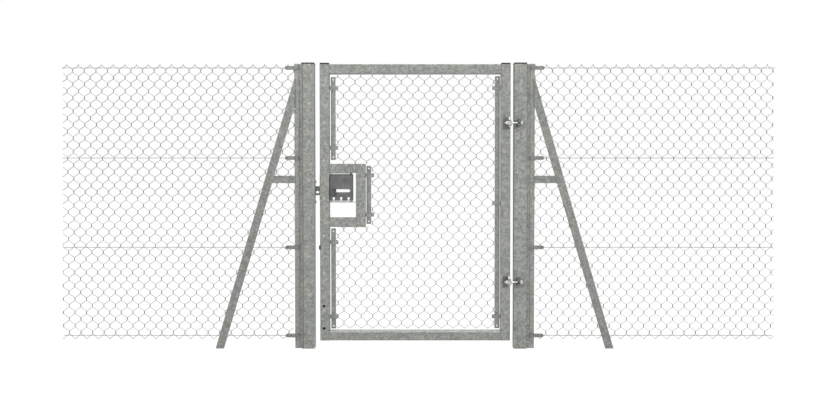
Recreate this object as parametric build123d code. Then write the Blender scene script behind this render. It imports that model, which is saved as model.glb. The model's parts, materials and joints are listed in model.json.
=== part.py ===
"""Chain link pedestrian gate: a lockable leaf between two box posts, with a
strutted fence panel on each side.

Origin: centre of the hinge post's foot.  +X to the right, +Y away from the
viewer, +Z up.  All sizes are in millimetres.
"""
from build123d import *
import os

# Main posts, square hollow section with pressed caps
POST_SIDE = 80.0
POST_WALL = 4.0
POST_CORNER = 6.0
POST_HEIGHT = 1794.0
CAP_HEIGHT = 6.0
CAP_INSET = 1.0
CAP_CORNER = 1.5

# Clear opening and the leaf in it
OPENING = 1256.0
HINGE_GAP = 22.0
LATCH_GAP = 34.0
LEAF_SECTION = 60.0
LEAF_WALL = 3.0
LEAF_CORNER = 5.0
LEAF_BOTTOM = 50.0
LEAF_TOP = 1792.0
STILE_CAP_HEIGHT = 8.0

# Lock frame inside the leaf, its shelf and its case
LOCK_WIDTH = 166.5
LOCK_BOTTOM = 768.0
LOCK_TOP = 1167.0
LOCK_HEAD_HEIGHT = 57.0
SHELF_LEVEL = 926.0
SHELF_THICKNESS = 3.0
CASE_WIDTH = 147.0
CASE_BOTTOM = 936.0
CASE_TOP = 1100.0
CASE_DEPTH = 45.0
CASE_SHEET = 3.0
STRIP_WIDTH = 114.0
KEYHOLE_COUNT = 3
KEYHOLE_PITCH = 46.5
KEYHOLE_RADIUS = 7.3
KEYHOLE_RISE = 13.5
KEYHOLE_NECK = 7.0

# Slide bolt
BOLT_TRAVEL = 65.0
BOLT_THICKNESS = 8.0
BOLT_LEVEL = 997.0
BOLT_HEIGHT = 58.0
BOLT_THROW = 22.0
BOLT_TAIL = 101.0
BOLT_CLEARANCE = 0.3
PADLOCK_HOLE_LENGTH = 21.0
PADLOCK_HOLE_HEIGHT = 13.0
PADLOCK_HOLE_DROP = 9.5
HANDLE_STEM_RADIUS = 6.0
HANDLE_STAND_OFF = 6.0
HANDLE_PLATE = 6.0
HANDLE_CORNER = 4.0
HANDLE_WIDTH = 24.0
HANDLE_LENGTH = 35.0
HANDLE_SETBACK = 28.0
HANDLE_CLEARANCE = 3.0
HANDLE_SLOT_LENGTH = 112.0

# Keep on the latch post, faceplate and stop on the leaf's edge
KEEP_THICKNESS = 3.0
KEEP_BOTTOM = 915.0
KEEP_TOP = 1066.0
KEEP_WIDTH = 40.0
KEEP_BOLT_INSET = 11.0
FACEPLATE_WIDTH = 24.0
STOP_BOTTOM = 626.0
STOP_HEIGHT = 24.0
STOP_PROUD = 6.0
STOP_WIDTH = 20.0

# Two holes for a drop bolt in the latch stile
DROP_HOLE_RADIUS = 6.5
DROP_HOLE_LOW = 128.0
DROP_HOLE_SPACING = 140.0
DROP_HOLE_INSET = 26.0

# Stretcher bars and the lugs that hold them to the leaf
BAR_WIDTH = 30.0
BAR_THICKNESS = 5.0
BAR_STAND_OFF = 8.0
LOCK_BAR_STAND_OFF = 5.5
RIGHT_BAR_STAND_OFF = 7.0
BAR_HOLE_RADIUS = 4.5
BAR_HOLE_INSET = 17.0
LEAF_LUG_LENGTH = 54.0
LEAF_LUG_HEIGHT = 25.0
LEAF_LUG_THICKNESS = 5.0
LEAF_LUG_HOLE_RADIUS = 5.0
LEFT_LUG_LEVELS = (200.0, 671.0, 1268.0, 1644.0)
RIGHT_LUG_LEVELS = (200.0, 918.0, 1644.0)
LOCK_LUG_LEVELS = (846.0, 1094.0)
UPPER_BAR = (1191.0, 1713.0)
LOWER_BAR = (122.0, 758.0)
RIGHT_BAR = (124.0, 1719.0)
LOCK_BAR = (786.0, 1154.0)

# Hinges: an eye bolt on the post, a forked bracket with a pin on the leaf
HINGE_LEVELS = (424.0, 1420.0)
HINGE_OFFSET_X = 72.0
HINGE_OFFSET_Y = 72.0
PIN_RADIUS = 5.5
PIN_CLEARANCE = 0.1
PIN_RISE = 24.0
EYE_RADIUS = 13.0
EYE_HEIGHT = 26.0
EYE_PLAY = 1.0
FORK_THICKNESS = 5.0
FORK_HALF_WIDTH = 9.0
FORK_HEIGHT = 68.0
FORK_PLATE_LEFT = 109.0
SHANK_RADIUS = 5.5
SHANK_END = 11.0
LUG_X = -24.0
LUG_WIDTH = 20.0
LUG_HEIGHT = 46.0
LUG_REACH = 55.0
NUT_ACROSS_FLATS = 22.0
NUT_HEIGHT = 12.0
EYE_NUT_ACROSS_FLATS = 20.0
EYE_NUT_END = 22.0
EYE_TAIL_RADIUS = 3.0
EYE_TAIL_END = 32.0

# Angle posts beside the box posts, their bars, struts and ties
LEFT_ANGLE_LEG = 45.0
RIGHT_ANGLE_LEG = 50.0
ANGLE_THICKNESS = 5.0
ANGLE_SETBACK = 20.0
FENCE_BAR_WIDTH = 28.0
FENCE_BAR_BOTTOM = 50.0
STRUT_WIDTH = 50.0
STRUT_THICKNESS = 8.0
TIE_THICKNESS = 5.0
STRUT_TOP = 1700.0
STRUT_REACH = 502.0
STRUT_LAP = 4.0
TIE_BOTTOM = 1045.0
TIE_HEIGHT = 47.0

# Fence lugs and line wires
FENCE_LUG_LEVELS = (82.0, 640.0, 1203.0, 1768.0)
FENCE_LUG_HEIGHT = 24.0
FENCE_LUG_REACH = 60.0
FENCE_LUG_THICKNESS = 5.0
FENCE_LUG_HOLE_RADIUS = 5.0
LUG_BOLT_ACROSS_FLATS = 17.0
LUG_BOLT_HEIGHT = 6.0
LINE_WIRE_RADIUS = 2.0
WIRE_CLEARANCE = 0.2

# Chain link fabric
CELL_WIDTH = 73.5
CELL_HEIGHT = 84.6
KNOT_LENGTH = 14.0
WIRE_WIDTH = 3.5
FABRIC_THICKNESS = 3.5
FENCE_FABRIC_BOTTOM = 57.0
FENCE_FABRIC_TOP = 1795.0
FENCE_KNOT_LEVEL = 1792.0
LEFT_FABRIC_LENGTH = 1461.0
RIGHT_FABRIC_LENGTH = 1507.0
LEFT_COLUMN_PHASE = 28.6
RIGHT_COLUMN_PHASE = -5.9
LEAF_COLUMN_PHASE = 8.2
LEAF_KNOT_LEVEL = 1724.0
FABRIC_BANDS = 3

# Levels and edges that follow from the sizes above
HALF_POST = POST_SIDE / 2
POST_FRONT = -HALF_POST
LATCH_POST_RIGHT = -HALF_POST - OPENING
LATCH_POST_X = LATCH_POST_RIGHT - HALF_POST
LEAF_RIGHT = -HALF_POST - HINGE_GAP
LEAF_LEFT = LATCH_POST_RIGHT + LATCH_GAP
HALF_LEAF = LEAF_SECTION / 2
LEAF_FRONT = -HALF_LEAF
STILE_INNER_LEFT = LEAF_LEFT + LEAF_SECTION
STILE_INNER_RIGHT = LEAF_RIGHT - LEAF_SECTION
LOCK_INNER_X = STILE_INNER_LEFT + LOCK_WIDTH
LOCK_OUTER_X = LOCK_INNER_X + LEAF_SECTION
HINGE_X = -HINGE_OFFSET_X
HINGE_Y = -HINGE_OFFSET_Y
LEAF_BAR_BACK = 0.0
LEAF_BAR_FRONT = LEAF_BAR_BACK - BAR_THICKNESS
ANGLE_FRONT = POST_FRONT + ANGLE_SETBACK
FENCE_BAR_FRONT = ANGLE_FRONT - BAR_THICKNESS
HANDLE_X = STILE_INNER_LEFT + HANDLE_SETBACK


def block(x, y, z):
    """Box between two limits on each axis."""
    size = [max(pair) - min(pair) for pair in (x, y, z)]
    middle = [(pair[0] + pair[1]) / 2 for pair in (x, y, z)]
    return Pos(*middle) * Box(*size)


def rod(start, direction, radius, length):
    """Round bar from a start point along a direction."""
    plane = Plane(origin=start, z_dir=direction)
    return extrude(plane * Circle(radius), length)


def prism_xz(points, y_low, y_high):
    """Flat plate parallel to the fence, from its outline in X and Z."""
    outline = make_face(Polyline(*[(x, y_low, z) for x, z in points], close=True))
    return extrude(outline, y_high - y_low, dir=(0, 1, 0))


def hex_head(start, direction, across_flats, height):
    """Hexagonal bolt head or nut that stands on a surface."""
    plane = Plane(origin=start, z_dir=direction)
    return extrude(plane * RegularPolygon(across_flats / 2, 6, major_radius=False), height)


def box_tube(x, y, z, wall, corner, along):
    """Square hollow section with rounded edges, open at both ends."""
    outer = block(x, y, z)
    outer = fillet(outer.edges().filter_by(along), corner)
    trim = {axis: wall for axis in "XYZ"}
    trim["XYZ"["XYZ".index(axis_name(along))]] = 0.0
    inner = block(
        (x[0] + trim["X"], x[1] - trim["X"]),
        (y[0] + trim["Y"], y[1] - trim["Y"]),
        (z[0] + trim["Z"], z[1] - trim["Z"]),
    )
    inner = fillet(inner.edges().filter_by(along), max(corner - wall, 0.5))
    return outer - inner


def axis_name(along):
    """Letter of one of the three main axes."""
    return {Axis.X: "X", Axis.Y: "Y", Axis.Z: "Z"}[along]


def bolt_slot(x_low, x_high):
    """Opening that the slide bolt runs through in an upright wall."""
    half_y = BOLT_THICKNESS / 2 + BOLT_CLEARANCE
    half_z = BOLT_HEIGHT / 2 + BOLT_CLEARANCE
    return block(
        (x_low, x_high), (-half_y, half_y), (BOLT_LEVEL - half_z, BOLT_LEVEL + half_z)
    )


def post(centre_x):
    """Main post, standing on the ground."""
    return box_tube(
        (centre_x - HALF_POST, centre_x + HALF_POST),
        (-HALF_POST, HALF_POST),
        (0, POST_HEIGHT),
        POST_WALL,
        POST_CORNER,
        Axis.Z,
    )


def pressed_cap(x, y, z_low, height, inset):
    """Plastic cap with rounded upright edges and a softened top."""
    cap = block((x[0] + inset, x[1] - inset), (y[0] + inset, y[1] - inset), (z_low, z_low + height))
    cap = fillet(cap.edges().filter_by(Axis.Z), POST_CORNER - inset)
    return fillet(cap.faces().sort_by(Axis.Z)[-1].edges(), min(CAP_CORNER, height / 2))


def post_cap(centre_x):
    """Cap on a main post."""
    x = (centre_x - HALF_POST, centre_x + HALF_POST)
    return pressed_cap(x, (-HALF_POST, HALF_POST), POST_HEIGHT, CAP_HEIGHT, CAP_INSET)


def latch_post():
    """Post that the slide bolt enters through its side wall."""
    wall = (LATCH_POST_RIGHT - POST_WALL - 1, LATCH_POST_RIGHT + 1)
    return post(LATCH_POST_X) - bolt_slot(*wall)


def bolt_keep():
    """Slotted plate on the latch post, held by two hexagon bolts."""
    plate = block(
        (LATCH_POST_RIGHT, LATCH_POST_RIGHT + KEEP_THICKNESS),
        (-KEEP_WIDTH / 2, KEEP_WIDTH / 2),
        (KEEP_BOTTOM, KEEP_TOP),
    )
    plate -= bolt_slot(LATCH_POST_RIGHT - 1, LATCH_POST_RIGHT + KEEP_THICKNESS + 1)
    for level in (KEEP_BOTTOM + KEEP_BOLT_INSET, KEEP_TOP - KEEP_BOLT_INSET):
        start = (LATCH_POST_RIGHT + KEEP_THICKNESS, 0, level)
        plate += hex_head(start, (1, 0, 0), LUG_BOLT_ACROSS_FLATS, LUG_BOLT_HEIGHT)
    return plate


def stile(x_low):
    """Upright of the leaf frame."""
    return box_tube(
        (x_low, x_low + LEAF_SECTION),
        (LEAF_FRONT, HALF_LEAF),
        (LEAF_BOTTOM, LEAF_TOP),
        LEAF_WALL,
        LEAF_CORNER,
        Axis.Z,
    )


def latch_stile():
    """Left upright, with the bolt's slots and the drop bolt's holes."""
    upright = stile(LEAF_LEFT) - bolt_slot(LEAF_LEFT - 1, STILE_INNER_LEFT + 1)
    for step in range(2):
        level = DROP_HOLE_LOW + step * DROP_HOLE_SPACING
        start = (LEAF_LEFT + DROP_HOLE_INSET, LEAF_FRONT - 1, level)
        upright -= rod(start, (0, 1, 0), DROP_HOLE_RADIUS, LEAF_WALL + 2)
    return upright


def stile_caps():
    """Plastic caps on both stiles."""
    caps = []
    for x_low in (LEAF_LEFT, STILE_INNER_RIGHT):
        x = (x_low, x_low + LEAF_SECTION)
        caps.append(pressed_cap(x, (LEAF_FRONT, HALF_LEAF), LEAF_TOP, STILE_CAP_HEIGHT, CAP_INSET))
    return Compound(children=caps)


def rail(x_low, x_high, z_low, height=LEAF_SECTION):
    """Level member of the leaf frame or of the lock frame."""
    return box_tube(
        (x_low, x_high),
        (LEAF_FRONT, HALF_LEAF),
        (z_low, z_low + height),
        LEAF_WALL,
        LEAF_CORNER,
        Axis.X,
    )


def lock_frame_side():
    """Upright member of the lock frame."""
    return box_tube(
        (LOCK_INNER_X, LOCK_OUTER_X),
        (LEAF_FRONT, HALF_LEAF),
        (LOCK_BOTTOM, LOCK_TOP),
        LEAF_WALL,
        LEAF_CORNER,
        Axis.Z,
    )


def lock_shelf():
    """Thin plate across the lock frame, under the case."""
    return block(
        (STILE_INNER_LEFT, LOCK_INNER_X),
        (LEAF_FRONT, HALF_LEAF),
        (SHELF_LEVEL - SHELF_THICKNESS, SHELF_LEVEL),
    )


def lock_case():
    """Folded sheet case: front with a slot and keyholes, top and side flanges."""
    right = STILE_INNER_LEFT + CASE_WIDTH
    back = LEAF_FRONT + CASE_DEPTH
    case = block((STILE_INNER_LEFT, right), (LEAF_FRONT, back), (CASE_BOTTOM, CASE_TOP))
    case -= block(
        (STILE_INNER_LEFT + CASE_SHEET, right + 1),
        (LEAF_FRONT + CASE_SHEET, back + 1),
        (CASE_BOTTOM - 1, CASE_TOP - CASE_SHEET),
    )
    case -= bolt_slot(STILE_INNER_LEFT - 1, STILE_INNER_LEFT + CASE_SHEET + 1)
    case -= handle_slot()
    for index in range(KEYHOLE_COUNT):
        case -= keyhole(HANDLE_X + index * KEYHOLE_PITCH)
    return case


def handle_slot():
    """Round-ended slot in the case's front for the handle's stem."""
    radius = HANDLE_STEM_RADIUS + HANDLE_CLEARANCE
    centre = HANDLE_X - radius + HANDLE_SLOT_LENGTH / 2
    plane = Plane(origin=(centre, LEAF_FRONT - 1, BOLT_LEVEL), x_dir=(1, 0, 0), z_dir=(0, -1, 0))
    return extrude(plane * SlotOverall(HANDLE_SLOT_LENGTH, 2 * radius), -CASE_SHEET - 2)


def keyhole(x):
    """Round hole with a neck that opens through the case's lower edge."""
    start = (x, LEAF_FRONT - 1, CASE_BOTTOM + KEYHOLE_RISE)
    hole = rod(start, (0, 1, 0), KEYHOLE_RADIUS, CASE_SHEET + 2)
    neck = KEYHOLE_NECK / 2
    return hole + block(
        (x - neck, x + neck),
        (LEAF_FRONT - 1, LEAF_FRONT + CASE_SHEET + 1),
        (CASE_BOTTOM - 1, CASE_BOTTOM + KEYHOLE_RISE),
    )


def lock_strips():
    """Narrow strips that close the case's front above and below."""
    middle = STILE_INNER_LEFT + CASE_WIDTH / 2
    x = (middle - STRIP_WIDTH / 2, middle + STRIP_WIDTH / 2)
    y = (LEAF_FRONT, LEAF_FRONT + CASE_SHEET)
    upper = block(x, y, (CASE_TOP, LOCK_TOP - LOCK_HEAD_HEIGHT))
    lower = block(x, y, (SHELF_LEVEL, CASE_BOTTOM))
    return Compound(children=[upper, lower])


def lock_faceplate():
    """Plate on the leaf's edge round the bolt."""
    plate = block(
        (LEAF_LEFT - KEEP_THICKNESS, LEAF_LEFT),
        (-FACEPLATE_WIDTH / 2, FACEPLATE_WIDTH / 2),
        (CASE_BOTTOM, CASE_TOP),
    )
    return plate - bolt_slot(LEAF_LEFT - KEEP_THICKNESS - 1, LEAF_LEFT + 1)


def leaf_stop():
    """Small block on the leaf's edge."""
    return block(
        (LEAF_LEFT - STOP_PROUD, LEAF_LEFT),
        (-STOP_WIDTH / 2, STOP_WIDTH / 2),
        (STOP_BOTTOM, STOP_BOTTOM + STOP_HEIGHT),
    )


def bolt_tongue():
    """Flat slide bolt with an oblong padlock hole in the latch gap."""
    low = BOLT_LEVEL - BOLT_HEIGHT / 2
    tongue = block(
        (LATCH_POST_RIGHT - BOLT_THROW, STILE_INNER_LEFT - LEAF_SECTION + BOLT_TAIL),
        (-BOLT_THICKNESS / 2, BOLT_THICKNESS / 2),
        (low, low + BOLT_HEIGHT),
    )
    centre = (LATCH_POST_RIGHT + LATCH_GAP / 2, -BOLT_THICKNESS / 2 - 1, BOLT_LEVEL - PADLOCK_HOLE_DROP)
    plane = Plane(origin=centre, x_dir=(1, 0, 0), z_dir=(0, -1, 0))
    hole = SlotOverall(PADLOCK_HOLE_LENGTH, PADLOCK_HOLE_HEIGHT)
    return tongue - extrude(plane * hole, -BOLT_THICKNESS - 2)


def bolt_handle():
    """Stem through the case's slot with a grip that hangs in front."""
    front = LEAF_FRONT - HANDLE_STAND_OFF
    start = (HANDLE_X, -BOLT_THICKNESS / 2, BOLT_LEVEL)
    stem = rod(start, (0, -1, 0), HANDLE_STEM_RADIUS, -BOLT_THICKNESS / 2 - front)
    half = HANDLE_WIDTH / 2
    grip = block(
        (HANDLE_X - half, HANDLE_X + half),
        (front - HANDLE_PLATE, front),
        (BOLT_LEVEL - HANDLE_LENGTH, BOLT_LEVEL + HANDLE_STEM_RADIUS),
    )
    return stem + fillet(grip.edges().filter_by(Axis.Y), HANDLE_CORNER)


def leaf_bar(x_low, levels):
    """Flat stretcher bar with a hole near each end."""
    bar = block((x_low, x_low + BAR_WIDTH), (LEAF_BAR_FRONT, LEAF_BAR_BACK), levels)
    middle = x_low + BAR_WIDTH / 2
    for level in (levels[0] + BAR_HOLE_INSET, levels[1] - BAR_HOLE_INSET):
        start = (middle, LEAF_BAR_FRONT - 1, level)
        bar -= rod(start, (0, 1, 0), BAR_HOLE_RADIUS, BAR_THICKNESS + 2)
    return bar


def leaf_bars():
    """The four stretcher bars of the leaf."""
    left = STILE_INNER_LEFT + BAR_STAND_OFF
    right = STILE_INNER_RIGHT - RIGHT_BAR_STAND_OFF - BAR_WIDTH
    return Compound(
        children=[
            leaf_bar(left, UPPER_BAR),
            leaf_bar(left, LOWER_BAR),
            leaf_bar(right, RIGHT_BAR),
            leaf_bar(LOCK_OUTER_X + LOCK_BAR_STAND_OFF, LOCK_BAR),
        ]
    )


def leaf_lug(root_x, side, level):
    """Strap from the frame across a bar, with a hole at its free end."""
    tip = root_x + side * LEAF_LUG_LENGTH
    y = (LEAF_BAR_FRONT - LEAF_LUG_THICKNESS, LEAF_BAR_FRONT)
    half = LEAF_LUG_HEIGHT / 2
    lug = block((root_x, tip), y, (level - half, level + half))
    hole_x = tip - side * half / 2
    return lug - rod((hole_x, y[0] - 1, level), (0, 1, 0), LEAF_LUG_HOLE_RADIUS, LEAF_LUG_THICKNESS + 2)


def leaf_lugs():
    """All lugs of the leaf."""
    lugs = [leaf_lug(STILE_INNER_LEFT, 1, level) for level in LEFT_LUG_LEVELS]
    lugs += [leaf_lug(STILE_INNER_RIGHT, -1, level) for level in RIGHT_LUG_LEVELS]
    lugs += [leaf_lug(LOCK_OUTER_X, 1, level) for level in LOCK_LUG_LEVELS]
    return Compound(children=lugs)


def hinge_bracket(level):
    """Bracket on the hinge stile with two prongs that hold the pin."""
    half_eye = EYE_HEIGHT / 2 + EYE_PLAY
    left = -FORK_PLATE_LEFT
    plate_front = LEAF_FRONT - FORK_THICKNESS
    right = HINGE_X + FORK_HALF_WIDTH
    bracket = block(
        (left, right), (plate_front, LEAF_FRONT), (level - FORK_HEIGHT / 2, level + FORK_HEIGHT / 2)
    )
    for z_low in (level + half_eye, level - half_eye - FORK_THICKNESS):
        z = (z_low, z_low + FORK_THICKNESS)
        prong = block((HINGE_X - FORK_HALF_WIDTH, right), (HINGE_Y, plate_front), z)
        prong += rod((HINGE_X, HINGE_Y, z_low), (0, 0, 1), FORK_HALF_WIDTH, FORK_THICKNESS)
        bracket += prong
    return bracket - rod((HINGE_X, HINGE_Y, level - FORK_HEIGHT / 2), (0, 0, 1), PIN_RADIUS, FORK_HEIGHT)


def hinge_pin(level):
    """Pin pressed into both prongs of a bracket, standing above the upper one."""
    half_eye = EYE_HEIGHT / 2 + EYE_PLAY
    pin_low = level - half_eye - 2 * FORK_THICKNESS
    pin_top = level + half_eye + PIN_RISE
    return rod((HINGE_X, HINGE_Y, pin_low), (0, 0, 1), PIN_RADIUS, pin_top - pin_low)


def eye_bolt(level):
    """Eye on the hinge pin, with a nut and a tail on one side and the shank on the other."""
    low = level - EYE_HEIGHT / 2
    eye = rod((HINGE_X, HINGE_Y, low), (0, 0, 1), EYE_RADIUS, EYE_HEIGHT)
    eye += rod((HINGE_X, HINGE_Y, level), (1, 0, 0), SHANK_RADIUS, SHANK_END - HINGE_X)
    eye += hex_head((LUG_X + LUG_WIDTH, HINGE_Y, level), (1, 0, 0), NUT_ACROSS_FLATS, NUT_HEIGHT)
    eye += hex_head((HINGE_X, HINGE_Y, level), (-1, 0, 0), EYE_NUT_ACROSS_FLATS, EYE_NUT_END)
    eye += rod((HINGE_X, HINGE_Y, level), (-1, 0, 0), EYE_TAIL_RADIUS, EYE_TAIL_END)
    bore = rod((HINGE_X, HINGE_Y, low - 1), (0, 0, 1), PIN_RADIUS + PIN_CLEARANCE, EYE_HEIGHT + 2)
    return eye - bore


def hinge_lug(level):
    """Block on the hinge post whose groove, open to the front, holds an eye bolt."""
    half = LUG_HEIGHT / 2
    x = (LUG_X, LUG_X + LUG_WIDTH)
    lug = block(x, (POST_FRONT - LUG_REACH, POST_FRONT), (level - half, level + half))
    lug -= rod((LUG_X - 1, HINGE_Y, level), (1, 0, 0), SHANK_RADIUS, LUG_WIDTH + 2)
    groove = (level - SHANK_RADIUS, level + SHANK_RADIUS)
    return lug - block((x[0] - 1, x[1] + 1), (POST_FRONT - LUG_REACH - 1, HINGE_Y), groove)


def mirrored_x(side, outer, inward):
    """X of a point that lies inward of a fence side's outer edge."""
    return outer - side * inward


def angle_leg(side):
    """Leg of the angle post on the left (-1) or right (+1)."""
    return RIGHT_ANGLE_LEG if side > 0 else LEFT_ANGLE_LEG


def angle_outer(side):
    """X of the angle post's outer edge."""
    face = HALF_POST if side > 0 else LATCH_POST_X - HALF_POST
    return face + side * angle_leg(side)


def angle_post(side):
    """Angle section beside a box post, one leg flat on the post."""
    outer = angle_outer(side)
    leg = angle_leg(side)
    root = mirrored_x(side, outer, leg)
    front_leg = block((outer, root), (ANGLE_FRONT, ANGLE_FRONT + ANGLE_THICKNESS), (0, POST_HEIGHT))
    side_leg = block(
        (root, root + side * ANGLE_THICKNESS), (ANGLE_FRONT, ANGLE_FRONT + leg), (0, POST_HEIGHT)
    )
    return front_leg + side_leg


def fence_bar(side):
    """Flat bar down the front of an angle post."""
    outer = angle_outer(side)
    return block(
        (outer, mirrored_x(side, outer, FENCE_BAR_WIDTH)),
        (FENCE_BAR_FRONT, ANGLE_FRONT),
        (FENCE_BAR_BOTTOM, POST_HEIGHT),
    )


def strut_inner_x(side, level):
    """X of the strut's inner edge at a level."""
    slope = STRUT_REACH / STRUT_TOP
    width = STRUT_WIDTH * (1 + slope**2) ** 0.5
    outer_x = angle_outer(side) + side * (STRUT_TOP - level) * slope
    return outer_x - side * width


def strut(side):
    """Raking flat bar from the ground to the angle post."""
    outer = angle_outer(side)
    foot = outer + side * STRUT_REACH
    trim = mirrored_x(side, outer, STRUT_LAP)
    slope = STRUT_REACH / STRUT_TOP
    level = side * (strut_inner_x(side, 0) - trim) / slope
    face = [(foot, 0), (strut_inner_x(side, 0), 0), (trim, level), (trim, STRUT_TOP), (outer, STRUT_TOP)]
    back = FENCE_BAR_FRONT
    return prism_xz(face, back - STRUT_THICKNESS, back)


def strut_tie(side):
    """Level flat bar between strut and angle post."""
    top = TIE_BOTTOM + TIE_HEIGHT
    trim = mirrored_x(side, angle_outer(side), STRUT_LAP)
    outline = [
        (strut_inner_x(side, TIE_BOTTOM), TIE_BOTTOM),
        (trim, TIE_BOTTOM),
        (trim, top),
        (strut_inner_x(side, top), top),
    ]
    return prism_xz(outline, FENCE_BAR_FRONT - TIE_THICKNESS, FENCE_BAR_FRONT)


def fence_lug(side, level):
    """Strap bolted across the bar, with a rounded end and a wire hole."""
    outer = angle_outer(side)
    root = mirrored_x(side, outer, FENCE_BAR_WIDTH)
    half = FENCE_LUG_HEIGHT / 2
    centre = outer + side * (FENCE_LUG_REACH - half)
    y = (FENCE_BAR_FRONT - FENCE_LUG_THICKNESS, FENCE_BAR_FRONT)
    lug = block((root, centre), y, (level - half, level + half))
    lug += rod((centre, y[0], level), (0, 1, 0), half, FENCE_LUG_THICKNESS)
    lug -= rod((centre, y[0] - 1, level), (0, 1, 0), FENCE_LUG_HOLE_RADIUS, FENCE_LUG_THICKNESS + 2)
    bolt_x = mirrored_x(side, outer, FENCE_BAR_WIDTH / 2)
    return lug + hex_head((bolt_x, y[0], level), (0, -1, 0), LUG_BOLT_ACROSS_FLATS, LUG_BOLT_HEIGHT)


def fence_lugs(side):
    """The lugs of one fence side."""
    return Compound(children=[fence_lug(side, level) for level in FENCE_LUG_LEVELS])


def fabric_length(side):
    """Length of the fabric on one side."""
    return RIGHT_FABRIC_LENGTH if side > 0 else LEFT_FABRIC_LENGTH


def line_wires(side):
    """Taut level wires behind the lugs."""
    y = FENCE_BAR_FRONT + WIRE_CLEARANCE + LINE_WIRE_RADIUS
    outer = angle_outer(side)
    wires = [
        rod((outer, y, level), (side, 0, 0), LINE_WIRE_RADIUS, fabric_length(side))
        for level in FENCE_LUG_LEVELS
    ]
    return Compound(children=wires)


def cell_outline(centre_x, centre_z, y):
    """Six-sided opening between four wires."""
    half_wire = WIRE_WIDTH / 2
    half_width = CELL_WIDTH / 2
    knot = KNOT_LENGTH / 2
    rise = CELL_HEIGHT / 2 - KNOT_LENGTH
    slope = rise / half_width
    drop = half_wire * (1 + slope**2) ** 0.5
    side_x = half_width - half_wire
    top = knot + rise - drop
    side_top = top - side_x * slope
    points = [
        (-side_x, -side_top),
        (-side_x, side_top),
        (0, top),
        (side_x, side_top),
        (side_x, -side_top),
        (0, -top),
    ]
    return Wire.make_polygon([(centre_x + x, y, centre_z + z) for x, z in points], close=True)


def fabric(x, z, phase_x, knot_level, y_front):
    """Chain link fabric between limits, fused where its wires cross.

    phase_x is the X of a column with a knot at knot_level."""
    half = CELL_WIDTH / 2
    margin = CELL_HEIGHT
    first = int((x[0] - margin - phase_x) // half)
    last = int((x[1] + margin - phase_x) // half) + 1
    cells = []
    for column in range(first, last + 1):
        shift = 0.0 if column % 2 else CELL_HEIGHT / 2
        top = knot_level - shift
        row = int((top - (z[1] + margin)) // CELL_HEIGHT)
        while top - row * CELL_HEIGHT > z[0] - margin:
            cells.append(cell_outline(phase_x + column * half, top - row * CELL_HEIGHT, y_front))
            row += 1
    reach = 3 * CELL_HEIGHT
    corners = [(x[0] - reach, z[0] - reach), (x[1] + reach, z[0] - reach)]
    corners += [(x[1] + reach, z[1] + reach), (x[0] - reach, z[1] + reach)]
    outline = Wire.make_polygon([(cx, y_front, cz) for cx, cz in corners], close=True)
    sheet = extrude(Face(outline, cells), FABRIC_THICKNESS, dir=(0, 1, 0))
    piece = sheet & block(x, (y_front - 1, y_front + FABRIC_THICKNESS + 1), z)
    return max(piece.solids(), key=lambda solid: solid.volume)


def fence_fabric(side, band):
    """One band of a fence side's fabric, counted from the ground."""
    outer = angle_outer(side)
    end = outer + side * fabric_length(side)
    phase = end + LEFT_COLUMN_PHASE if side < 0 else outer + RIGHT_COLUMN_PHASE
    height = (FENCE_FABRIC_TOP - FENCE_FABRIC_BOTTOM) / FABRIC_BANDS
    low = FENCE_FABRIC_BOTTOM + band * height
    y_front = FENCE_BAR_FRONT + 2 * (WIRE_CLEARANCE + LINE_WIRE_RADIUS)
    return fabric((min(outer, end), max(outer, end)), (low, low + height), phase, FENCE_KNOT_LEVEL, y_front)


def leaf_fabric(x_low, z):
    """One rectangle of the leaf's fabric."""
    x_high = STILE_INNER_RIGHT - RIGHT_BAR_STAND_OFF - BAR_WIDTH
    phase = STILE_INNER_LEFT + BAR_STAND_OFF + BAR_WIDTH + LEAF_COLUMN_PHASE
    y_front = LEAF_BAR_FRONT + (BAR_THICKNESS - FABRIC_THICKNESS) / 2
    return fabric((x_low, x_high), z, phase, LEAF_KNOT_LEVEL, y_front)


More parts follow.
